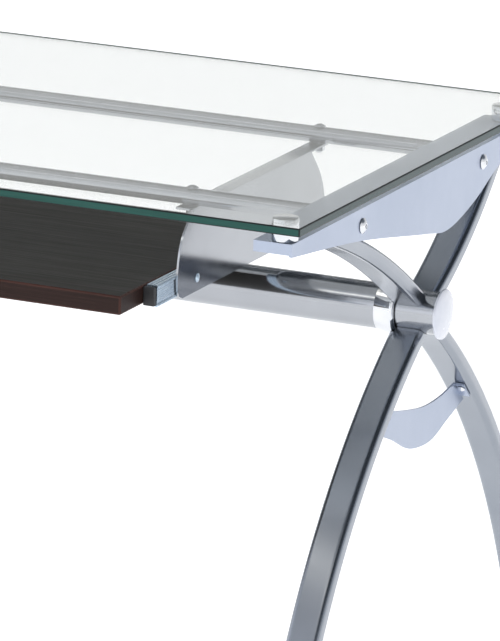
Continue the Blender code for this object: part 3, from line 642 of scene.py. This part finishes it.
for node in sides("side_plate_{side}"):
    refine(node, 0.0007)
for node in [*sides("keyboard_bracket_{side}"), *sides("crescent_brace_{side}")]:
    refine(node, 0.0005)
for node in [*sides("slide_runner_{side}"), *sides("slide_cage_{side}")]:
    refine(node, 0.00015, 1)
for node in sides("slide_bumper_{side}"):
    refine(node, 0.0008, 3)
for node in ["stretcher_tube", "cross_tube_front", "cross_tube_rear", *sides("hub_{side}")]:
    refine(node, 0.0003)
for node in [*sides("collar_{side}"), *sides("end_cap_{side}"), *ends_and_sides("standoff_{end}_{side}")]:
    refine(node, 0.0003, 2, 50.0)
for node in ends_and_sides("foot_glide_{end}_{side}"):
    refine(node, 0.0010, 3, 50.0)
for pattern in ("side_screw_{end}_{side}", "bracket_bolt_{end}_{side}", "slide_screw_{end}_{side}"):
    for node in ends_and_sides(pattern):
        refine(node, 0.0001, 1, 50.0)
for node in [*ends_and_sides("bracket_nut_{end}_{side}"), *sides("brace_screw_{side}")]:
    refine(node, 0.0002, 1, 50.0)


# ------------------------------------------------------------------ studio


def build_floor():
    mesh = bpy.data.meshes.new("floor")
    shape = bmesh.new()
    bmesh.ops.create_grid(shape, x_segments=2, y_segments=2, size=14.0)
    shape.to_mesh(mesh)
    shape.free()
    floor = bpy.data.objects.new("floor", mesh)
    bpy.context.scene.collection.objects.link(floor)
    material, tree, shader = new_material("studio_floor")
    shade = noise(tree, (1.5, 1.5, 1.5), 4.0)
    tone = blend_colour(tree, spread(tree, shade, 0.0, 1.0), (0.93, 0.93, 0.93), (0.95, 0.95, 0.95))
    tree.links.new(tone, shader.inputs["Base Color"])
    shader.inputs["Roughness"].default_value = 0.7
    shader.inputs["Emission Color"].default_value = (1.0, 1.0, 1.0, 1.0)
    shader.inputs["Emission Strength"].default_value = FLOOR_GLOW
    mesh.materials.append(material)


def colour_ramp(tree, value, stops):
    ramp = add(tree, "ShaderNodeValToRGB")
    ramp.color_ramp.interpolation = "EASE"
    elements = ramp.color_ramp.elements
    elements[0].position, elements[1].position = stops[0][0], stops[-1][0]
    for position, _ in stops[1:-1]:
        elements.new(position)
    for element, (_, colour) in zip(elements, stops):
        element.color = (*colour, 1.0)
    tree.links.new(value, ramp.inputs["Fac"])
    return ramp.outputs["Color"]


# Brightness of the room by the sine of the elevation, 0 straight down to 1 straight up
FRONT_SKY = [
    (0.50, (1.30, 1.30, 1.30)),
    (0.60, (1.42, 1.45, 1.50)),
    (0.72, (0.95, 0.98, 1.04)),
    (0.835, (0.55, 0.56, 0.58)),
    (0.862, (2.20, 2.12, 1.95)),
    (0.890, (0.36, 0.38, 0.42)),
    (0.935, (0.05, 0.06, 0.07)),
    (1.00, (0.05, 0.06, 0.07)),
]
REAR_SKY = [
    (0.50, (0.85, 0.85, 0.85)),
    (0.63, (0.54, 0.55, 0.54)),
    (0.67, (0.30, 0.31, 0.32)),
    (0.71, (0.07, 0.08, 0.09)),
    (1.00, (0.05, 0.06, 0.07)),
]
RIGHT_SKY = [
    (0.50, (1.00, 1.00, 1.00)),
    (0.60, (0.85, 0.87, 0.90)),
    (0.70, (0.14, 0.16, 0.19)),
    (0.80, (0.03, 0.04, 0.05)),
    (1.00, (0.05, 0.06, 0.07)),
]


def build_world():
    """A photographer's room: white low down, dim overhead, with one bright strip in front."""
    world = bpy.data.worlds.new("studio")
    world.use_nodes = True
    tree = world.node_tree
    coordinates = add(tree, "ShaderNodeTexCoord")
    split = add(tree, "ShaderNodeSeparateXYZ")
    tree.links.new(coordinates.outputs["Generated"], split.inputs[0])
    height = spread(tree, split.outputs["Z"], 0.0, 1.0, -1.0, 1.0)
    front, rear, right = [colour_ramp(tree, height, sky) for sky in (FRONT_SKY, REAR_SKY, RIGHT_SKY)]
    behind = spread(tree, split.outputs["Y"], 0.0, 1.0, -0.05, 0.30)
    aside = spread(tree, split.outputs["X"], 0.0, 1.0, 0.15, 0.45)
    sky = blend_colour(tree, aside, blend_colour(tree, behind, front, rear), right)
    tree.links.new(sky, tree.nodes["Background"].inputs["Color"])
    bpy.context.scene.world = world


def sun_light(name, direction, softness, strength):
    data = bpy.data.lights.new(name, "SUN")
    data.energy = strength
    data.angle = math.radians(softness)
    light = bpy.data.objects.new(name, data)
    light.rotation_euler = Vector(direction).to_track_quat("-Z", "Y").to_euler()
    light.visible_glossy = False
    bpy.context.scene.collection.objects.link(light)


def build_camera():
    azimuth, elevation = math.radians(CAMERA_AZIMUTH), math.radians(CAMERA_ELEVATION)
    back = Vector((
        math.sin(azimuth) * math.cos(elevation),
        -math.cos(azimuth) * math.cos(elevation),
        math.sin(elevation),
    ))
    right = Vector((math.cos(azimuth), math.sin(azimuth), 0.0))
    up = back.cross(right)
    turn = Matrix((right, up, back)).transposed()
    roll = Matrix.Rotation(math.radians(CAMERA_ROLL), 3, "Z")
    data = bpy.data.cameras.new("camera")
    data.lens = CAMERA_LENS
    data.sensor_width = CAMERA_SENSOR
    data.sensor_fit = "HORIZONTAL"
    data.clip_end = 100.0
    camera = bpy.data.objects.new("camera", data)
    place = Matrix.Translation(Vector(CAMERA_AIM) + CAMERA_DISTANCE * back)
    camera.matrix_world = place @ (turn @ roll).to_4x4()
    bpy.context.scene.collection.objects.link(camera)
    bpy.context.scene.camera = camera


build_floor()
build_world()
sun_light("overhead", (0.1, 0.25, -1.0), 70.0, OVERHEAD_SUN)
sun_light("right_fill", (-0.8, 0.5, -0.45), 60.0, FILL_SUN)
build_camera()
bpy.context.scene.view_settings.view_transform = "Standard"
